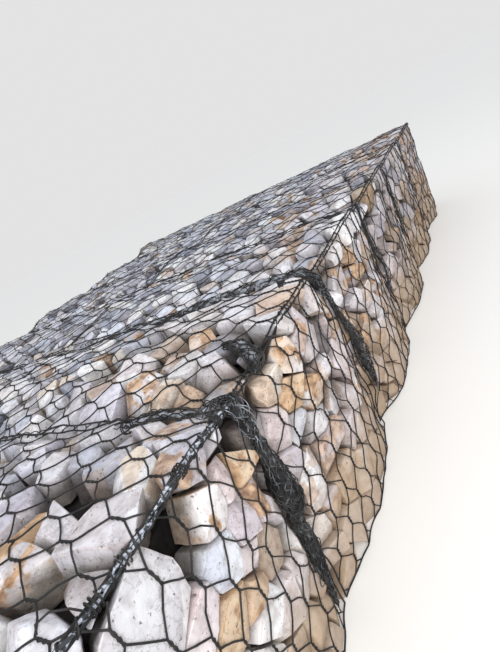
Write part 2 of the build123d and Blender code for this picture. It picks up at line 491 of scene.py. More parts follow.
def left_by_shade_and_dirt(basket, place):
    """Share of its colour that a place between the stones keeps under painted shade and some dirt, by its
    depth under the nearest side.
    """
    x = place.x - basket.middle
    in_face = ROW + swell(x, FACE_BULGE) - abs(place.y)
    in_lid = HEIGHT + swell(x, TOP_BULGE) - place.z
    # Along the far stretch of the face the painted shade starts nearer the surface and grows darker
    far = smooth(place.x, -1.4, 0.2) if in_face < in_lid else 0.0
    depth = min(in_face, in_lid)
    if basket.at_end:
        depth = min(depth, WALL_END - abs(place.x))
    shaded_and_dirty = smooth(depth, SHADE_AND_DIRT_START - FAR_START * far, SHADE_AND_DIRT_FULL - FAR_FULL * far)
    return 1 - (SHADE_AND_DIRT + FAR_SHADE_AND_DIRT * far) * shaded_and_dirty


# A basket's stones as one piece


class Mass:
    """Corners and faces of one basket's stones, with a colour for each corner of a face."""

    def __init__(self):
        self.corners, self.faces, self.colours = [], [], []

    def add_stone(self, basket, stone, middle, colour, old):
        """Takes in one carved stone, with its facets tinted and painted shade with some dirt on its hidden
        corners.
        """
        seed = middle * 37.0
        base = len(self.corners)
        spots = [corner.co + middle for corner in stone.data.vertices]
        shares = [left_by_shade_and_dirt(basket, spot) for spot in spots]
        self.corners.extend(spots)
        for face in stone.data.polygons:
            tint = facet_tint(face.normal, seed, old)
            tinted = [min(channel * light, PALEST_FACET) for channel, light in zip(colour, tint)]
            self.faces.append([base + index for index in face.vertices])
            for index in face.vertices:
                # Painted shade with some dirt, tinted brown, on corners deep between the stones; the rusty
                # stain fades with it
                shaded_and_dirty = [channel * shares[index] ** power for channel, power in zip(tinted, SHADE_AND_DIRT_TINT)]
                self.colours.append((*shaded_and_dirty, colour[3] * shares[index]))

    def add_core(self, basket):
        """Smaller stone behind the outer ones, as one closed block, coloured near black: painted shade, as
        that stone lies unlit.
        """
        x = [basket.middle - HALF + CORE_GAP, basket.middle + HALF - CORE_GAP]
        if basket.bay == 0:
            x[0] += CORE_INSET
        if basket.bay == BAYS - 1:
            x[1] -= CORE_INSET
        y = sorted((basket.row * CORE_GAP, basket.row * (ROW - CORE_INSET)))
        z = (0.0, HEIGHT - CORE_INSET)
        base = len(self.corners)
        self.corners.extend(Vector((x[i & 1], y[i >> 1 & 1], z[i >> 2])) for i in range(8))
        for face in ((0, 2, 3, 1), (4, 5, 7, 6), (0, 1, 5, 4), (2, 6, 7, 3), (0, 4, 6, 2), (1, 3, 7, 5)):
            self.faces.append([base + corner for corner in face])
            self.colours.extend([CORE_SHADE_COLOUR] * 4)

    def as_piece(self, name):
        """The finished mesh, with its colours as an attribute that the material reads."""
        mesh = bpy.data.meshes.new(name)
        mesh.from_pydata(self.corners, [], self.faces)
        layer = mesh.color_attributes.new("stone_colour", "FLOAT_COLOR", "CORNER")
        layer.data.foreach_set("color", np.array(self.colours, dtype=np.float32).ravel())
        piece = bpy.data.objects.new(mesh.name, mesh)
        bpy.context.collection.objects.link(piece)
        return piece


def fill_basket(basket):
    """Every stone of a basket that shows, and the mass behind them, near black with painted shade."""
    mass = Mass()
    places = stone_places(basket)
    for middle, size, tone in places:
        if tone == "gap":
            continue
        near = [(other, other_size) for other, other_size, other_tone in places
                if other is not middle and (other - middle).length < NEIGHBOUR_REACH]
        near.sort(key=lambda neighbour: (neighbour[0] - middle).length)
        stone = carve_stone(basket, middle, size, near[:NEIGHBOURS], seen_fineness(basket, middle))
        side = min(basket.outer_planes(middle), key=lambda plane: (plane[0] - middle).length)[2]
        colour = stone_colour(middle, side, basket.random)
        colour = colour if tone is None else TONES[tone]
        ochre_share = 0.4 if side == "top" else 2 + 3 * (colour[3] > 0.3)
        old = basket.random.choices(OLD_BREAKS, (2, ochre_share, 3))[0]
        if len(stone.data.polygons) >= LEAST_FACES:
            mass.add_stone(basket, stone, middle, colour, old)
        bpy.data.meshes.remove(stone.data)
    mass.add_core(basket)
    return mass.as_piece(basket.name.replace("fill", "stones"))


def roughen(piece, name, grain, depth):
    """Moves a piece's corners in and out by a cloudy pattern."""
    pattern = bpy.data.textures.new(name, "CLOUDS")
    pattern.noise_scale = grain
    pattern.noise_depth = 3
    select_only(piece)
    bpy.ops.object.modifier_add(type="DISPLACE")
    change = piece.modifiers[-1]
    change.texture = pattern
    change.texture_coords = "LOCAL"
    change.mid_level = 0.55
    change.strength = depth
    bpy.ops.object.modifier_apply(modifier=change.name)


# Relief of the stones, and the mesh that is stretched over it


class Side:
    """A side of the wall as a raster of how far its stones stand out."""

    def __init__(self, origin, across, up, out, spans, limits):
        self.origin = Vector(origin)
        self.across, self.up, self.out = Vector(across), Vector(up), Vector(out)
        self.spans, self.limits = spans, limits
        self.count = [int(round((high - low) / RASTER)) + 1 for low, high in limits]

    def place(self, u, v, height):
        return self.origin + self.across * u + self.up * v + self.out * height

    def measure(self, tree):
        """Casts a ray at every raster point, then lays a taut cover over the hits."""
        start = 0.3
        raw = np.full(self.count, DEEP)
        for i in range(self.count[0]):
            u = self.limits[0][0] + i * RASTER
            for j in range(self.count[1]):
                v = self.limits[1][0] + j * RASTER
                ray = (self.place(u, v, start), -self.out, start - DEEP)
                spot, normal, index, distance = tree.ray_cast(*ray)
                if spot is not None:
                    raw[i, j] = start - distance
        self.taut = np.full(self.count, DEEP)
        for low, high in self.spans:
            first = int(round((low - self.limits[0][0]) / RASTER))
            last = int(round((high - self.limits[0][0]) / RASTER)) + 1
            self.taut[first:last] = taut_cover(raw[first:last])

    def height(self, u, v):
        """Height of the taut cover at a place, between raster points."""
        i = min(max((u - self.limits[0][0]) / RASTER, 0), self.count[0] - 1.001)
        j = min(max((v - self.limits[1][0]) / RASTER, 0), self.count[1] - 1.001)
        a, b = int(i), int(j)
        s, t = i - a, j - b
        grid = self.taut
        return ((1 - s) * ((1 - t) * grid[a, b] + t * grid[a, b + 1])
                + s * ((1 - t) * grid[a + 1, b] + t * grid[a + 1, b + 1]))

    def draped(self, u, v, lift):
        return self.place(u, v, self.height(u, v) + lift)


def spread(grid, axis, reach, bend):
    """Highest of the neighbours along one axis, less the further they are."""
    best = grid.copy()
    for step in range(1, reach + 1):
        drop = bend * (step * RASTER) ** 2
        here, there = [slice(None)] * 2, [slice(None)] * 2
        here[axis], there[axis] = slice(step, None), slice(None, -step)
        here, there = tuple(here), tuple(there)
        best[here] = np.maximum(best[here], grid[there] - drop)
        best[there] = np.maximum(best[there], grid[here] - drop)
    return best


def bridged(grid, axes, reach, bend):
    """Fills the hollows between high places along some axes, and leaves the high places as they are."""
    for sign in (1, -1):
        for axis in axes:
            grid = sign * spread(sign * grid, axis, reach, bend)
    return grid


def taut_cover(grid):
    """Closes the gaps between stones as a stretched net does."""
    eased = bridged(grid, (0, 1), MESH_REACH, MESH_BEND)
    for turn in range(2):
        padded = np.pad(eased, 1, mode="edge")
        beside = padded[:-2, 1:-1] + padded[2:, 1:-1] + padded[1:-1, :-2] + padded[1:-1, 2:]
        eased = (beside + 2 * eased) / 6
    return np.maximum(eased, grid)


class Crest:
    """The crest of one side: where lid and face meet."""

    def __init__(self, tree, row):
        self.row = row
        self.out = Vector((0, row, 1)).normalized()
        self.inward = Vector((0, -row, 1)).normalized()
        self.heights = self.measure(tree)

    def measure(self, tree):
        """How far the stones reach along the crest, at every raster step."""
        steps = int(round(2 * WALL_END / RASTER)) + 1
        start = 0.25
        far = 0.6
        heights = np.zeros((steps, 1))
        for i in range(steps):
            spot = Vector((i * RASTER - WALL_END, self.row * (ROW + start), HEIGHT + start))
            hit, normal, index, distance = tree.ray_cast(spot, -self.out, far)
            heights[i] = start * math.sqrt(2) - (far if hit is None else distance)
        for bay in range(BAYS):
            first = int(round(bay * BAY / RASTER))
            last = int(round((bay + 1) * BAY / RASTER)) + 1
            heights[first:last] = bridged(heights[first:last], (0,), CREST_REACH, CREST_BEND)
        return heights[:, 0]

    def place(self, x, lift=0.0, turn=0.0):
        """Point on the crest, lifted off it and moved from face to lid."""
        i = min(max((x + WALL_END) / RASTER, 0), len(self.heights) - 1.001)
        a = int(i)
        height = (1 - (i - a)) * self.heights[a] + (i - a) * self.heights[a + 1]
        return Vector((x, self.row * ROW, HEIGHT)) + self.out * (height + lift) + self.inward * turn


# Wire


def wires(name, lines, radius, sides=1):
    """Round wires along many lines of points, as one mesh.

    A point may carry its own share of the radius as a fourth number.
    """
    curve = bpy.data.curves.new(name, "CURVE")
    curve.dimensions = "3D"
    curve.bevel_depth = radius
    curve.bevel_resolution = sides
    curve.use_fill_caps = True
    for line in lines:
        spline = curve.splines.new("POLY")
        spline.points.add(len(line) - 1)
        for point, spot in zip(spline.points, line):
            point.co = (spot[0], spot[1], spot[2], 1.0)
            point.radius = spot[3] if len(spot) > 3 else 1.0
    piece = bpy.data.objects.new(name, curve)
    bpy.context.collection.objects.link(piece)
    select_only(piece)
    bpy.ops.object.convert(target="MESH")
    piece = bpy.context.view_layer.objects.active
    piece.data.name = name
    return piece


def joined(name, parts):
    """Several pieces made one."""
    select_only(parts[0])
    for part in parts:
        part.select_set(True)
    if len(parts) > 1:
        bpy.ops.object.join()
    piece = bpy.context.view_layer.objects.active
    piece.name = piece.data.name = name
    return piece


def wander(u, v, seed):
    """How far a knot of the mesh has been pulled out of its place."""
    spot = Vector((u * 5.5, v * 5.5, seed))
    return noise.noise(spot) * WANDER, noise.noise(spot + Vector((0, 0, 40))) * WANDER


class Panel:
    """A panel of woven mesh stretched over one side of one basket."""

    def __init__(self, side, span, rows, foot, head, near, foot_crest=None, head_crest=None):
        self.side, self.span, self.rows = side, span, rows
        self.near = near
        self.crests = ((foot_crest, foot), (head_crest, head))
        self.width = span[1] - span[0]
        self.length = head - foot
        self.columns = max(2, int(round(self.width / (BAY - 2 * EDGE_MARGIN) * COLUMNS)))
        self.half_column, self.half_row = 0.5 / self.columns, 0.5 / rows
        self.half_twist = TWIST / self.length / 2

    def point(self, u, v, lift):
        """Place on the stretched mesh. u runs across the panel and v up it, both from 0 to 1."""
        side = self.side
        real_u = self.span[0] + u * self.width
        ends = []
        for crest, level in self.crests:
            spot = None if crest is None else crest.place(real_u) - side.origin
            ends.append((level, None) if crest is None else (spot.dot(side.up), spot.dot(side.out)))
        real_v = ends[0][0] + v * (ends[1][0] - ends[0][0])
        height = side.height(real_u, real_v)
        for (level, out), turn in zip(ends, (1, -1)):
            if out is not None:
                share = 1 - smooth(turn * (real_v - level), 0.0, 0.09)
                height = max(height, height * (1 - share) + out * share)
        return side.place(real_u, real_v, height + lift)

    def pulled(self, u, v, seed):
        """A place on the mesh after stretching, fixed at the panel's edges."""
        hold = math.prod(smooth(share, 0, HOLD) for share in (u, 1 - u, v, 1 - v))
        move_u, move_v = wander(self.span[0] + u * self.width, v * self.length, seed)
        return u + hold * move_u / self.width, v + hold * move_v / self.length

    def edge(self, u=None, v=None, lift=EDGE_WIRE):
        """The edge wire along one edge: u fixed for a side, v for the foot or the head."""
        steps = 48 if self.near else 24
        shares = [step / steps for step in range(steps + 1)]
        return [self.point(share if u is None else u, share if v is None else v, lift) for share in shares]


def mesh_lines(panel, seed):
    """The wires of a panel, each pair twisted together where they meet."""
    column, row = 1 / panel.columns, 1 / panel.rows
    lines = []
    for j in range(panel.rows):
        for i in range(panel.columns + 1):
            if (i + j) % 2:
                continue
            for hand in (-1, 1):
                if 0 < i < panel.columns:
                    lines.append(strand(panel, i * column, (j + 0.5) * row, hand, seed))
                elif (i == 0) == (hand > 0):
                    lines.append(edge_strand(panel, i * column, (j + 0.5) * row, hand, seed))
    return lines


def part_way(start, end, share):
    return [first + (last - first) * share for first, last in zip(start, end)]


def strand(panel, u, v, hand, seed):
    """One wire through one twist, from mid slant to mid slant."""
    start = panel.pulled(u - hand * panel.half_column, v - panel.half_row, seed)
    end = panel.pulled(u + hand * panel.half_column, v + panel.half_row, seed)
    middle = panel.pulled(u, v, seed)
    gap = TWIST_GAP / panel.width
    lower = (middle[0] - hand * gap, middle[1] - panel.half_twist)
    upper = (middle[0] + hand * gap, middle[1] + panel.half_twist)
    slant_steps, twist_steps = (3, 8) if panel.near else (1, 2)
    points = [panel.point(*part_way(start, lower, step / slant_steps), WIRE) for step in range(slant_steps)]
    for step in range(twist_steps + 1):
        share = step / twist_steps
        angle = math.pi * (1 + HALF_TURNS * share)
        across = middle[0] + hand * gap * math.cos(angle)
        along = lower[1] + 2 * panel.half_twist * share
        points.append(panel.point(across, along, WIRE + 0.001 + TWIST_GAP * math.sin(angle) * hand))
    for step in range(slant_steps):
        points.append(panel.point(*part_way(upper, end, (step + 1) / slant_steps), WIRE))
    return points


def edge_strand(panel, u, v, hand, seed):
    """One wire that turns back along the panel's edge wire."""
    start = panel.pulled(u + hand * panel.half_column, v - panel.half_row, seed)
    end = panel.pulled(u + hand * panel.half_column, v + panel.half_row, seed)
    stops = (start, (u, v - panel.half_twist), (u, v + panel.half_twist), end)
    return [panel.point(*stop, WIRE) for stop in stops]


def crest_edge(crest, bay, turn, near):
    """Edge wire of a lid or a face along the crest of one bay."""
    steps = 60 if near else 24
    low = bay_middle(bay) - HALF + EDGE_MARGIN
    length = BAY - 2 * EDGE_MARGIN
    return [crest.place(low + step * length / steps, EDGE_WIRE, turn) for step in range(steps + 1)]


def coil(route, length, first, second, pitch, steps, knots=()):
    """Lacing wound round a route. first and second are its half widths with their directions."""
    points = []
    angle, along = 0.0, 0.0
    while along < length:
        tight = max((1 - smooth(abs(along - knot), 0.008, 0.03) for knot in knots), default=0.0)
        middle = route(along)
        loose = 1 + 0.16 * noise.noise(middle * 31) + 0.25 * tight
        points.append(middle + first * (math.cos(angle) * loose) + second * (math.sin(angle) * loose))
        angle += 2 * math.pi / steps
        along += pitch * (1 - 0.78 * tight) * (1 + 0.5 * noise.noise(middle * 9)) / steps
    return points


def kink(draw, size):
    """A small move in any direction."""
    return Vector([draw.uniform(-1, 1) for axis in range(3)]) * size


class Bunch:
    """Mesh that is crumpled together along a route: forward across the lid, over the crest, down the face."""

    def __init__(self, lid_route, crest_stop, face_route, seed):
        x, width, lift = crest_stop
        self.seed = seed
        self.outs = [top.out] * len(lid_route) + [front_crest.out] + [front.out] * len(face_route)
        self.spots = [top.draped(u, v, lift) for u, v, half, lift in lid_route]
        self.spots.append(front_crest.place(x, lift))
        self.spots.extend(front.draped(u, v, lift) for u, v, half, lift in face_route)
        self.widths = [half for u, v, half, lift in lid_route]
        self.widths.append(width)
        self.widths.extend(half for u, v, half, lift in face_route)
        self.marks = [0.0]
        for start, end in zip(self.spots, self.spots[1:]):
            self.marks.append(self.marks[-1] + (end - start).length)
        self.length = self.marks[-1]
        self.crest_mark = self.marks[len(lid_route)]

    def between(self, along, values):
        """Value at a distance along the route, from the values at its stops."""
        return Vector([float(np.interp(along, self.marks, part)) for part in zip(*values)])

    def width(self, along):
        return float(np.interp(along, self.marks, self.widths))

    def point(self, along, angle, reach):
        """Place on the bunch, turned round its middle line. An angle of a quarter turn faces out."""
        middle = self.between(along, self.spots)
        out = self.between(along, self.outs).normalized()
        way = self.between(along + 0.02, self.spots) - self.between(along - 0.02, self.spots)
        across = way.cross(out).normalized()
        return middle + (across * math.cos(angle) + out * math.sin(angle) * 0.7) * self.width(along) * reach

    def strand(self, number, step, draw, reach, start, end):
        """One kinked wire that runs along the bunch."""
        angle = draw.uniform(-0.3, math.pi + 0.3)
        points = []
        along = start
        while along < end:
            turn = angle + 2.4 * noise.noise(Vector((along * 12, number, self.seed)))
            away = reach + 0.5 * noise.noise(Vector((along * 15, number, self.seed + 9)))
            points.append(self.point(along, turn, away) + kink(draw, 0.005))
            along += step * draw.uniform(0.7, 1.3)
        return points

    def sleeve(self, count, step, draw, reach, start, end):
        """Mesh drawn tight round the bunch: zigzag wires that meet their neighbours."""
        apart = (math.pi + 0.8) / count
        lines = []
        for number in range(count):
            angle = -0.4 + (number + 0.5) * apart
            points = []
            turn = 0
            along = start
            while along < end:
                sway = apart * (0.55 if (turn + number) % 2 else -0.55)
                sway += 0.25 * noise.noise(Vector((along * 9, 3.0, self.seed)))
                move = kink(draw, 0.003)
                points.append(self.point(along, angle + sway, reach) + move)
                points.append(self.point(along + step * 0.35, angle + sway, reach) + move)
                turn += 1
                along = start + turn * step
            lines.append(points)
        return lines

    def winding(self, along, turns, draw):
        """Wire wound round the bunch where it is tied."""
        return [self.point(along + 0.005 * step / 9, 2 * math.pi * step / 9, 0.95 + 0.1 * draw.random())
                for step in range(turns * 9 + 1)]

    def body(self, step, start, end, share, ragged):
        """Line down the middle of a stretch, each point with its share of the greatest width."""
        widest = max(self.widths)
        count = int((end - start) / step)
        line = []
        for number in range(count + 1):
            along = start + (end - start) * number / count
            taper = smooth(along - start, -0.01, 0.08) * smooth(end - along, -0.01, 0.08)
            size = 1 + ragged * noise.noise(Vector((along * 11, self.seed, 4.0)))
            radius = self.width(along) * share * size * taper / widest
            line.append((*self.point(along, -math.pi / 2, 0.25), radius))
        return line


def loose_arc(start, end, out, sag):
    """A slack wire between two places, hanging away from the wall."""
    points = []
    for step in range(13):
        share = step / 12
        bow = math.sin(math.pi * share)
        points.append(start.lerp(end, share) + out * sag * bow + Vector((0, 0, -0.5 * sag * bow)))
    return points


# Finishes


def new_material(name):
    material = bpy.data.materials.new(name)
    material.use_nodes = True
    return material, material.node_tree, material.node_tree.nodes["Principled BSDF"]


def feed(tree, socket, value):
    """Gives a socket its value, or links it where the value is another node's output."""
    if isinstance(value, bpy.types.NodeSocket):
        tree.links.new(value, socket)
    else:
        socket.default_value = value


def add(tree, kind, **values):
    """A node with its settings and inputs."""
    made = tree.nodes.new(kind)
    for key, value in values.items():
        if hasattr(made, key):
            setattr(made, key, value)
        else:
            feed(tree, made.inputs[key], value)
    return made


def blend(tree, share, first, second, mode="MIX"):
    """Mixes two colours by a share."""
    made = tree.nodes.new("ShaderNodeMix")
    made.data_type, made.blend_type = "RGBA", mode
    for index, value in ((0, share), (6, first), (7, second)):
        feed(tree, made.inputs[index], value)
    return made.outputs[2]


def ramp(tree, value, *stops):
    """A value mapped through stops of (place, grey)."""
    made = tree.nodes.new("ShaderNodeValToRGB")
    tree.links.new(value, made.inputs[0])
    marks = made.color_ramp.elements
    while len(marks) < len(stops):
        marks.new(0.5)
    for mark, (place, grey) in zip(marks, stops):
        mark.position = place
        mark.color = (grey, grey, grey, 1)
    return made.outputs[0]


def math_node(tree, operation, first, second=0.0):
    made = tree.nodes.new("ShaderNodeMath")
    made.operation = operation
    feed(tree, made.inputs[0], first)
    feed(tree, made.inputs[1], second)
    return made.outputs[0]


def noise_value(tree, place, scale, detail=3.0, roughness=0.55):
    made = add(tree, "ShaderNodeTexNoise", Vector=place, Scale=scale, Detail=detail, Roughness=roughness)
    return made.outputs[0]


BROAD_TINT = (0.80, 0.77, 0.79, 1)
DARK_RUST, PALE_RUST = (0.34, 0.20, 0.11, 1), (0.60, 0.40, 0.25, 1)
GRIME_TINT = (0.66, 0.62, 0.60, 1)
VEIN = (0.30, 0.24, 0.20, 1)
SPECK = (0.19, 0.15, 0.13, 1)
WET_MUD, DRY_MUD = (0.30, 0.21, 0.14, 1), (0.50, 0.38, 0.27, 1)


def stone_material():
    """Broken limestone: pale facets, rusty stains, veins, mud up to knee height."""
    material, tree, shader = new_material("broken stone")
    place = tree.nodes.new("ShaderNodeTexCoord").outputs["Object"]
    own = add(tree, "ShaderNodeAttribute", attribute_name="stone_colour")
    broad = noise_value(tree, place, 7.0)
    middling = noise_value(tree, place, 26.0, 4.0)
    fine = noise_value(tree, place, 110.0)
    shaded = blend(tree, 1.0, own.outputs["Color"], BROAD_TINT, "MULTIPLY")
    colour = blend(tree, ramp(tree, broad, (0.35, 0.0), (0.7, 1.0)), own.outputs["Color"], shaded)

    patches = ramp(tree, noise_value(tree, place, 9.5), (0.475, 0.0), (0.525, 1.0))
    stain = math_node(tree, "MULTIPLY", patches, own.outputs["Alpha"])
    rust = blend(tree, ramp(tree, middling, (0.38, 0.0), (0.6, 1.0)), DARK_RUST, PALE_RUST)
    colour = blend(tree, stain, colour, rust)
    grimy = blend(tree, 1.0, colour, GRIME_TINT, "MULTIPLY")
    colour = blend(tree, ramp(tree, middling, (0.38, 0.62), (0.54, 0.0)), colour, grimy)

    vein_noise = noise_value(tree, place, 11.0, 6.0, 0.65)
    off_vein = math_node(tree, "ABSOLUTE", math_node(tree, "SUBTRACT", vein_noise, 0.5))
    veins = ramp(tree, off_vein, (0.0, 0.5), (0.014, 0.0))
    colour = blend(tree, veins, colour, VEIN, "MULTIPLY")
    specks = ramp(tree, noise_value(tree, place, 75.0, 2.0), (0.29, 0.8), (0.34, 0.0))
    colour = blend(tree, specks, colour, SPECK, "MULTIPLY")

    height = add(tree, "ShaderNodeSeparateXYZ", Vector=place).outputs["Z"]
    ragged = math_node(tree, "MULTIPLY", broad, 0.42)
    mud = ramp(tree, math_node(tree, "SUBTRACT", height, ragged), (0.0, 0.85), (0.3, 0.0))
    colour = blend(tree, mud, colour, blend(tree, middling, WET_MUD, DRY_MUD))
    tree.links.new(colour, shader.inputs["Base Color"])

    tree.links.new(ramp(tree, middling, (0.3, 0.74), (0.7, 0.95)), shader.inputs["Roughness"])
    shader.inputs["Specular IOR Level"].default_value = 0.3
    grain = add(tree, "ShaderNodeBump", Strength=0.35, Distance=0.002, Height=fine)
    chips = add(tree, "ShaderNodeBump", Strength=0.6, Distance=0.008, Height=middling,
                Normal=grain.outputs[0])
    tree.links.new(chips.outputs[0], shader.inputs["Normal"])
    return material


def wire_material(name, dark, dusty, metallic, roughness, grain=18.0, low=0.42, high=0.68):
    """Weathered wire with dust and dull spots. On the kinked wires of the bunches the pale patches are
    painted glints, not dust.
    """
    material, tree, shader = new_material(name)
    place = tree.nodes.new("ShaderNodeTexCoord").outputs["Object"]
    patches = ramp(tree, noise_value(tree, place, grain, 4.0), (low, 0.0), (high, 1.0))
    tree.links.new(blend(tree, patches, (*dark, 1), (*dusty, 1)), shader.inputs["Base Color"])
    shader.inputs["Metallic"].default_value = metallic
    dull = ramp(tree, noise_value(tree, place, 60.0), (0.3, roughness), (0.7, roughness + 0.2))
    tree.links.new(dull, shader.inputs["Roughness"])
    bump = add(tree, "ShaderNodeBump", Strength=0.3, Distance=0.0006, Height=noise_value(tree, place, 240.0))
    tree.links.new(bump.outputs[0], shader.inputs["Normal"])
    return material


broken_stone = stone_material()
dark_wire = wire_material("coated mesh wire", (0.007, 0.007, 0.008), (0.034, 0.030, 0.027), 0.0, 0.68)
zinc_wire = wire_material("weathered zinc wire", (0.16, 0.17, 0.19), (0.50, 0.53, 0.58), 0.5, 0.38)
pale_zinc = wire_material("flaking zinc", (0.03, 0.033, 0.038), (0.45, 0.48, 0.54), 0.0, 0.6,
                          grain=70.0, low=0.47, high=0.55)
crumpled = wire_material("crumpled mesh", (0.006, 0.006, 0.007), (0.05, 0.046, 0.043), 0.0, 0.6)
dusty_mesh = wire_material("dusty folded mesh", (0.06, 0.062, 0.068), (0.31, 0.32, 0.36), 0.0, 0.7,
                           grain=45.0, low=0.34, high=0.60)
soiled_mesh = wire_material("soiled mesh", (0.010, 0.010, 0.012), (0.15, 0.15, 0.165), 0.0, 0.65,
                            grain=40.0, low=0.42, high=0.66)
# Its pale grey patches are painted glints along the wires of the bunches
glint_painted_wire = wire_material("kinked wire with painted glints", (0.012, 0.013, 0.015), (0.16, 0.17, 0.19), 0.0, 0.6,
                           grain=30.0, low=0.45, high=0.66)


# Stones of every basket

stones = []
for bay in range(BAYS):
    for row in (-1, 1):
        basket = Basket(bay, row)
        piece = fill_basket(basket)
        piece.data.materials.append(broken_stone)
        roughen(piece, "broad breaks", 0.07, 0.007)
        roughen(piece, "fine breaks", 0.02, 0.003)
        for corner in piece.data.vertices:
            corner.co.z = max(corner.co.z, 0.0)
        bpy.ops.object.shade_smooth_by_angle(angle=math.radians(30))
        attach(piece, "root")
        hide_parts(basket.name)
        stones.append(piece)

all_corners, all_faces = [], []
for piece in stones:
    base = len(all_corners)
    all_corners.extend(corner.co.copy() for corner in piece.data.vertices)
    all_faces.extend([base + index for index in face.vertices] for face in piece.data.polygons)
tree = BVHTree.FromPolygons(all_corners, all_faces)

ALONG, DEEPER, UP = (1, 0, 0), (0, 1, 0), (0, 0, 1)
bay_spans = [(bay_middle(bay) - HALF, bay_middle(bay) + HALF) for bay in range(BAYS)]
row_spans = [(-ROW - 0.08, 0.0), (0.0, ROW + 0.08)]
long_way = (-WALL_END, WALL_END)
top_way = (-ROW - 0.1, ROW + 0.1)
end_way = (-ROW - 0.08, ROW + 0.08)
upright = (0.0, HEIGHT + 0.1)
front = Side((0, -ROW, 0), ALONG, UP, (0, -1, 0), bay_spans, (long_way, upright))
top = Side((0, 0, HEIGHT), ALONG, DEEPER, UP, bay_spans, (long_way, top_way))
back = Side((0, ROW, 0), ALONG, UP, (0, 1, 0), bay_spans, (long_way, upright))
near_end = Side((-WALL_END, 0, 0), DEEPER, UP, (-1, 0, 0), row_spans, (end_way, upright))
far_end = Side((WALL_END, 0, 0), DEEPER, UP, (1, 0, 0), row_spans, (end_way, upright))
for side in (front, top, back, near_end, far_end):
    side.measure(tree)
front_crest, back_crest = Crest(tree, -1), Crest(tree, 1)


# Mesh, edge wires and lacing


def finish_wire(piece, material, replaced=()):
    """Last steps of a wire piece. Without a material it keeps those that it has."""
    if material is not None:
        piece.data.materials.clear()
        piece.data.materials.append(material)
    select_only(piece)
    bpy.ops.object.shade_smooth_by_angle(angle=math.radians(60))
    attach(piece, "root")
    if replaced:
        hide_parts(*replaced)


def net_piece(name, panels, edges=(), replaced=()):
    """Wires of several panels as one piece, with the edge wires that hold them."""
    groups = {True: [], False: []}
    for seed, panel in enumerate(panels):
        groups[panel.near].extend(mesh_lines(panel, 3.7 * seed + len(name)))
    parts = []
    for near, lines in groups.items():
        if lines:
            parts.append(wires(name, lines, WIRE if near else FAR_WIRE, 1 if near else 0))
    if edges:
        parts.append(wires(name, edges, EDGE_WIRE))
    finish_wire(joined(name, parts), dark_wire, replaced)


def edge_piece(name, edges, replaced):
    """Edge wires as one piece."""
    finish_wire(wires(name, edges, EDGE_WIRE), dark_wire, [replaced])


def joint_coil(joint, low, high, near):
    """Lacing that ties the lids on both sides of a joint together."""
    def route(along):
        y = low + along
        level = (top.height(joint - 0.014, y) + top.height(joint + 0.014, y)) / 2
        return top.place(joint, y, level + EDGE_WIRE)
    across, up = Vector((JOINT_ACROSS, 0, 0)), Vector((0, 0, JOINT_UP))
    return coil(route, high - low, across, up, JOINT_PITCH, 8 if near else 5)


def crest_coil(crest, bay, near, knots=()):
    """Lacing along the crest of one bay."""
    start = bay_middle(bay) - HALF + 0.02
    knots = [knot - start for knot in knots]

    def route(along):
        return crest.place(start + along, EDGE_WIRE + 0.003)
    return coil(route, BAY - 0.04, crest.out * LACING_OUT, crest.inward * LACING_IN, LACING_PITCH,
                10 if near else 5, knots)


def dress_bay(bay):
    """Mesh, edge wires and lacing of one bay."""
    number = bay + 1
    near = bay < 2
    joint = bay_middle(bay) - HALF
    span = (joint + EDGE_MARGIN, bay_middle(bay) + HALF - EDGE_MARGIN)
    face = Panel(front, span, FACE_ROWS, FOOT, HEIGHT, bay < 3, head_crest=front_crest)
    edges = [face.edge(u=0), face.edge(u=1), face.edge(v=0), crest_edge(front_crest, bay, -EDGE_APART, near)]
    net_piece(f"front_net_{number}", [face], edges, [f"front_mesh_{number}"])
    lid = Panel(top, span, TOP_ROWS, -ROW, -EDGE_MARGIN, near, foot_crest=front_crest)
    rear_lid = Panel(top, span, TOP_ROWS, EDGE_MARGIN, ROW, False, head_crest=back_crest)
    net_piece(f"lid_net_{number}", [lid, rear_lid])
    rear = Panel(back, span, FACE_ROWS, FOOT, HEIGHT, False, head_crest=back_crest)
    net_piece(f"back_net_{number}", [rear])

    edges = [lid.edge(u=0), lid.edge(u=1), lid.edge(v=1)]
    edges.extend((rear_lid.edge(u=0), rear_lid.edge(u=1), rear_lid.edge(v=0)))
    edges.append(crest_edge(front_crest, bay, EDGE_APART, near))
    edges.append(crest_edge(back_crest, bay, EDGE_APART, False))
    edge_piece(f"lid_edges_{number}", edges, f"lid_frames_{number}")
    edges = [rear.edge(u=0), rear.edge(u=1), rear.edge(v=0), crest_edge(back_crest, bay, -EDGE_APART, False)]
    edge_piece(f"back_edges_{number}", edges, f"back_frame_{number}")

    turns = [crest_coil(front_crest, bay, near, KNOTS if bay == 0 else ())]
    turns.append(crest_coil(back_crest, bay, False))
    if bay > 0:
        for low, high in ((-ROW + 0.06, -0.03), (0.03, ROW - 0.06)):
            turns.append(joint_coil(joint, low, high, near))
    finish_wire(wires(f"lacing_{number}", turns, LACING), dark_wire, [f"crest_lacing_{number}"])


for bay in range(BAYS):
    dress_bay(bay)
for name, side in (("near_end", near_end), ("far_end", far_end)):
    panels = [Panel(side, span, FACE_ROWS, FOOT, HEIGHT - END_DROP, False)
              for span in ((-ROW + END_MARGIN, -EDGE_MARGIN), (EDGE_MARGIN, ROW - END_MARGIN))]
    net_piece(f"{name}_net", panels)
    edges = [panel.edge(**fixed) for panel in panels for fixed in ({"u": 0}, {"u": 1}, {"v": 0}, {"v": 1})]
    edge_piece(f"{name}_edges", edges, f"{name}_frames")


# Bunches of crumpled mesh over the joints

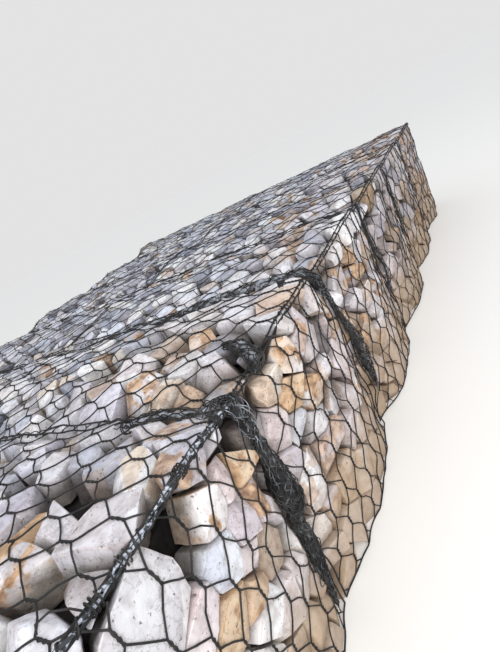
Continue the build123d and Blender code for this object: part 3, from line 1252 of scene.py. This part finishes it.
# (x, y, half width, lift) forward across the lid at each joint
LID_ROUTES = (
    ((-2.05, -1.46, 0.004, 0.0), (-2.04, -1.58, 0.016, 0.004), (-2.02, -1.72, 0.020, 0.006),
     (-2.0, -1.84, 0.034, 0.012), (-1.985, -1.95, 0.044, 0.016)),
    ((-1.0, -0.4, 0.004, 0.004), (-1.02, -0.7, 0.018, 0.008), (-1.04, -1.0, 0.022, 0.010),
     (-1.03, -1.3, 0.034, 0.014), (-1.05, -1.6, 0.042, 0.016), (-1.06, -1.82, 0.048, 0.016),
     (-1.06, -1.95, 0.040, 0.016)),
    ((0.0, -1.3, 0.004, 0.0), (0.01, -1.6, 0.014, 0.004), (0.0, -1.88, 0.022, 0.008)),
    ((1.0, -1.2, 0.004, 0.0), (1.01, -1.5, 0.014, 0.004), (1.0, -1.86, 0.022, 0.008)),
    ((2.0, -1.4, 0.004, 0.0), (1.99, -1.64, 0.012, 0.004), (2.0, -1.88, 0.020, 0.008)),
)
# (x, half width, lift) at the crest
CREST_STOPS = (
    (-1.98, 0.036, 0.012), (-1.055, 0.032, 0.012), (0.0, 0.02, 0.006), (1.0, 0.02, 0.006),
    (2.0, 0.018, 0.006),
)
# (x, z, half width, lift) down the face
FACE_ROUTES = (
    ((-1.985, 0.93, 0.030, 0.025), (-1.995, 0.84, 0.024, 0.02), (-2.005, 0.74, 0.032, 0.02),
     (-1.998, 0.63, 0.056, 0.026), (-2.0, 0.53, 0.054, 0.026), (-2.012, 0.46, 0.030, 0.01),
     (-2.025, 0.36, 0.034, 0.015), (-2.04, 0.25, 0.028, 0.01), (-2.05, 0.14, 0.016, 0.004),
     (-2.055, 0.02, 0.004, 0.0)),
    ((-1.03, 0.91, 0.038, 0.02), (-1.0, 0.82, 0.016, 0.006), (-0.985, 0.70, 0.014, 0.006),
     (-0.965, 0.56, 0.036, 0.02), (-0.95, 0.44, 0.052, 0.02), (-0.945, 0.34, 0.030, 0.01),
     (-0.94, 0.24, 0.010, 0.004), (-0.94, 0.16, 0.004, 0.0)),
    ((0.0, 0.90, 0.030, 0.008), (0.02, 0.78, 0.012, 0.004), (0.025, 0.62, 0.034, 0.01),
     (0.02, 0.50, 0.016, 0.01), (0.01, 0.36, 0.020, 0.006), (0.0, 0.2, 0.004, 0.0)),
    ((1.0, 0.90, 0.028, 0.008), (1.02, 0.76, 0.012, 0.004), (1.01, 0.56, 0.032, 0.01),
     (1.0, 0.40, 0.012, 0.004), (1.0, 0.26, 0.004, 0.0)),
    ((2.0, 0.90, 0.026, 0.008), (1.985, 0.74, 0.012, 0.004), (1.99, 0.52, 0.030, 0.01),
     (2.0, 0.38, 0.010, 0.004), (2.0, 0.22, 0.004, 0.0)),
)
# Share of a bunch's width that is one mass of dusty mesh on the lid
LID_BODY = (0.6, 0.8, 0.5, 0.5, 0.5)
# The same for a bunch's width on the face, and how much it varies
FACE_BODY = ((0.74, 0.3), (0.42, 1.3), (0.36, 1.4), (0.36, 1.4), (0.36, 1.4))
# Wires that hang down each bunch
STRANDS = (18, 11, 7, 7, 7)


def bunch_body(name, bunch, joint, near):
    """The mass of a bunch: dusty on the lid, darker down the face."""
    widest = max(bunch.widths)
    sides = 3 if near else 1
    line = bunch.body(BODY_STEP, 0.0, bunch.crest_mark, LID_BODY[joint], 0.6)
    folded = wires(name, [line], widest, sides)
    folded.data.materials.append(dusty_mesh)
    line = bunch.body(BODY_STEP, bunch.crest_mark - 0.05, bunch.length, *FACE_BODY[joint])
    hanging = wires(name, [line], widest, sides)
    hanging.data.materials.append(crumpled if joint == 0 else soiled_mesh)
    body = joined(name, [folded, hanging])
    roughen(body, "pleats", 0.03, 0.024 if near else 0.014)
    roughen(body, "crumples", 0.01, 0.010)
    return body


def bunch_lines(bunch, joint, near, draw):
    """Dark wires, and pale ones that carry painted glints, that run along a bunch and round it."""
    crest_mark, length = bunch.crest_mark, bunch.length
    hang = length - crest_mark
    step = NEAR_STRAND_STEP if near else FAR_STRAND_STEP
    dark_lines, pale_lines = [], []
    for number in range(9 if near else 4):
        start = draw.uniform(0, 0.4) * crest_mark
        dark_lines.append(bunch.strand(number, step, draw, 1.0, start, crest_mark + draw.uniform(0, 0.08)))
    for number in range(STRANDS[joint]):
        lines = dark_lines if number % 3 else pale_lines
        start = crest_mark - draw.uniform(0, 0.08)
        end = crest_mark + hang * draw.uniform(0.5, 1.0)
        lines.append(bunch.strand(number + 20, step, draw, 0.9, start, end))
    if near:
        dark_lines.extend(bunch.sleeve(5, 0.045, draw, 0.85, crest_mark * 0.25, crest_mark))
        net = bunch.sleeve(9, 0.026, draw, 0.92, crest_mark, length - 0.06)
        dark_lines.extend(net[::2])
        pale_lines.extend(net[1::2])
        for number in range(18):
            along = crest_mark + hang * draw.uniform(-0.1, 0.75)
            side = draw.choice((0.15, math.pi - 0.15))
            start = bunch.point(along, side, 0.8)
            end = bunch.point(along + draw.uniform(0.025, 0.06), side, 0.8)
            away = (bunch.point(along, side, 1.0) - bunch.point(along, math.pi - side, 1.0)).normalized()
            dark_lines.append(loose_arc(start, end, away, draw.uniform(0.008, 0.026)))
    for tie in range(5 if near else 2):
        dark_lines.append(bunch.winding(length * draw.uniform(0.1, 0.9), 2, draw))
    return dark_lines, pale_lines


def bright_lines(bunch, crest_x, near, draw):
    """Short bare ends of wire round the crest, with a few slack ones in the near bunches."""
    lines = []
    for number in range(30 if near else 3):
        start = bunch.crest_mark + draw.uniform(-0.06, 0.16)
        end = start + draw.uniform(0.02, 0.05)
        lines.append(bunch.strand(number + 70, LOOSE_STEP, draw, 1.02, start, end))
    for number in range(4 if near else 0):
        start = front_crest.place(crest_x + draw.uniform(-0.05, 0.05), 0.01)
        end = front.draped(crest_x + draw.uniform(-0.05, 0.05), draw.uniform(0.84, 0.92), 0.01)
        lines.append(loose_arc(start, end, front_crest.out, draw.uniform(0.015, 0.045)))
    return lines


for joint, (lid_route, crest_stop, face_route) in enumerate(zip(LID_ROUTES, CREST_STOPS, FACE_ROUTES)):
    name = f"crumpled_mesh_{joint + 1}"
    near = joint < 2
    draw = random.Random(300 + joint)
    bunch = Bunch(lid_route, crest_stop, face_route, 20 * joint)
    body = bunch_body(name, bunch, joint, near)
    dark_lines, pale_lines = bunch_lines(bunch, joint, near, draw)
    dark = wires(name, dark_lines, DARK_STRAND, 1 if near else 0)
    dark.data.materials.append(crumpled)
    pale = wires(name, pale_lines, PALE_STRAND, 1 if near else 0)
    # The pale wires carry painted glints
    pale.data.materials.append(glint_painted_wire)
    finish_wire(joined(name, [body, dark, pale]), None, [f"joint_fold_{joint + 1}"])
    bright = wires(f"loose_wires_{joint + 1}", bright_lines(bunch, crest_stop[0], near, draw), LOOSE_WIRE,
                   1 if near else 0)
    finish_wire(bright, zinc_wire)

# A lump of drawn up mesh over the gap at the second bay's crest
LUMP_LID = ((-1.66, -1.80, 0.010, 0.0), (-1.70, -1.90, 0.034, 0.012))
LUMP_CREST = (-1.76, 0.034, 0.014)
LUMP_FACE = ((-1.80, 0.95, 0.012, 0.0),)
draw = random.Random(340)
lump = Bunch(LUMP_LID, LUMP_CREST, LUMP_FACE, 90)
lump_body = wires("drawn_up_mesh", [lump.body(0.01, 0.0, lump.length, 0.6, 0.6)], max(lump.widths), 2)
lump_body.data.materials.append(dusty_mesh)
roughen(lump_body, "lump", 0.02, 0.014)
lines = lump.sleeve(7, 0.024, draw, 0.95, 0.0, lump.length)
lines.extend(lump.strand(number, 0.016, draw, 1.05, 0.0, lump.length) for number in range(8))
lump_wires = wires("drawn_up_mesh", lines, DARK_STRAND)
lump_wires.data.materials.append(crumpled)
finish_wire(joined("drawn_up_mesh", [lump_body, lump_wires]), None)


# Pale wires inside the first lacing, and loose ends


def crest_rod():
    """Thick pale wires twisted inside the first crest's lacing, bent by the stones under them."""
    lines = []
    for hand in (-1, 1):
        line = []
        for step in range(ROD_STEPS + 1):
            x = ROD_START + step * ROD_LENGTH / ROD_STEPS
            sway = 0.004 * noise.noise(Vector((x * 14, 5.0, 0)))
            angle = 2 * math.pi * x / ROD_TWIST + 0.8 * noise.noise(Vector((x * 9, 1.0, 0)))
            turn = hand * ROD_REACH * math.cos(angle)
            lift = hand * ROD_REACH * 0.7 * math.sin(angle)
            size = 1 + 0.7 * noise.noise(Vector((x * 38, hand, 2.0)))
            line.append((*front_crest.place(x, 0.005 + sway + lift, sway + turn), size))
        lines.append(line)
    return wires("crest_rod", lines, ROD_WIRE, 2)


def ring(middle, radius, turns):
    """A few loose turns of wire standing on the lid."""
    points = []
    for step in range(turns * 14 + 1):
        angle = 2 * math.pi * step / 14
        size = radius * (1 + 0.12 * math.sin(angle * 0.6))
        drift = 0.004 * math.sin(angle * 0.35)
        points.append(middle + Vector((size * math.cos(angle), drift, size * math.sin(angle))))
    return points


rod = crest_rod()
roughen(rod, "dents", 0.014, 0.004)
finish_wire(rod, pale_zinc)

# (x, lift, move towards the lid) of the end of the lacing that stands up
STANDING_END = (
    (-2.66, 0.01, 0.0), (-2.675, 0.02, 0.03), (-2.70, 0.024, 0.055), (-2.725, 0.018, 0.062),
    (-2.735, 0.012, 0.05),
)
ends = [ring(top.draped(-2.12, -1.66, 0.018), 0.021, 2), [front_crest.place(*stop) for stop in STANDING_END]]
finish_wire(wires("wire_ends", ends, END_WIRE), dark_wire)


# Stage, light and camera

bpy.ops.mesh.primitive_plane_add(size=160, location=(0, 0, 0))
floor = bpy.context.object
floor.name = "floor"
ground, ground_tree, ground_shader = new_material("pale floor")
ground_shader.inputs["Base Color"].default_value = (0.77, 0.74, 0.70, 1)
ground_shader.inputs["Roughness"].default_value = 0.9
ground_shader.inputs["Specular IOR Level"].default_value = 0.1
ground_shader.inputs["Emission Color"].default_value = (1.0, 1.0, 1.0, 1)
ground_sight = ground_tree.nodes.new("ShaderNodeLightPath").outputs["Is Camera Ray"]
ground_glow = math_node(ground_tree, "MULTIPLY", ground_sight, FLOOR_GLOW)
ground_tree.links.new(ground_glow, ground_shader.inputs["Emission Strength"])
floor.data.materials.append(ground)

world = bpy.data.worlds.new("overcast")
bpy.context.scene.world = world
world.use_nodes = True
sky = world.node_tree
sky.nodes.clear()
seen = sky.nodes.new("ShaderNodeLightPath")
glow = add(sky, "ShaderNodeBackground", Color=(0.89, 0.94, 1.0, 1), Strength=0.9)
backdrop = add(sky, "ShaderNodeBackground", Color=(0.77, 0.77, 0.77, 1), Strength=1.0)
mirrored = math_node(sky, "MAXIMUM", seen.outputs["Is Glossy Ray"], seen.outputs["Is Transmission Ray"])
shown = math_node(sky, "MAXIMUM", seen.outputs["Is Camera Ray"], mirrored)
either = sky.nodes.new("ShaderNodeMixShader")
sky.links.new(shown, either.inputs[0])
sky.links.new(glow.outputs[0], either.inputs[1])
sky.links.new(backdrop.outputs[0], either.inputs[2])
end = sky.nodes.new("ShaderNodeOutputWorld")
sky.links.new(either.outputs[0], end.inputs["Surface"])

bpy.ops.object.light_add(type="AREA", location=LAMP_PLACE)
lamp = bpy.context.object
lamp.name = "soft_box"
lamp.data.shape = "SQUARE"
lamp.data.size = LAMP_SIZE
lamp.data.energy = LAMP_POWER
lamp.rotation_euler = (LAMP_AIM - lamp.location).to_track_quat("-Z", "Y").to_euler()

bpy.ops.object.camera_add(location=CAMERA_PLACE, rotation=[math.radians(turn) for turn in CAMERA_TURN])
camera = bpy.context.object
camera.data.lens = CAMERA_LENS
bpy.context.scene.camera = camera
bpy.context.scene.view_settings.view_transform = "Standard"
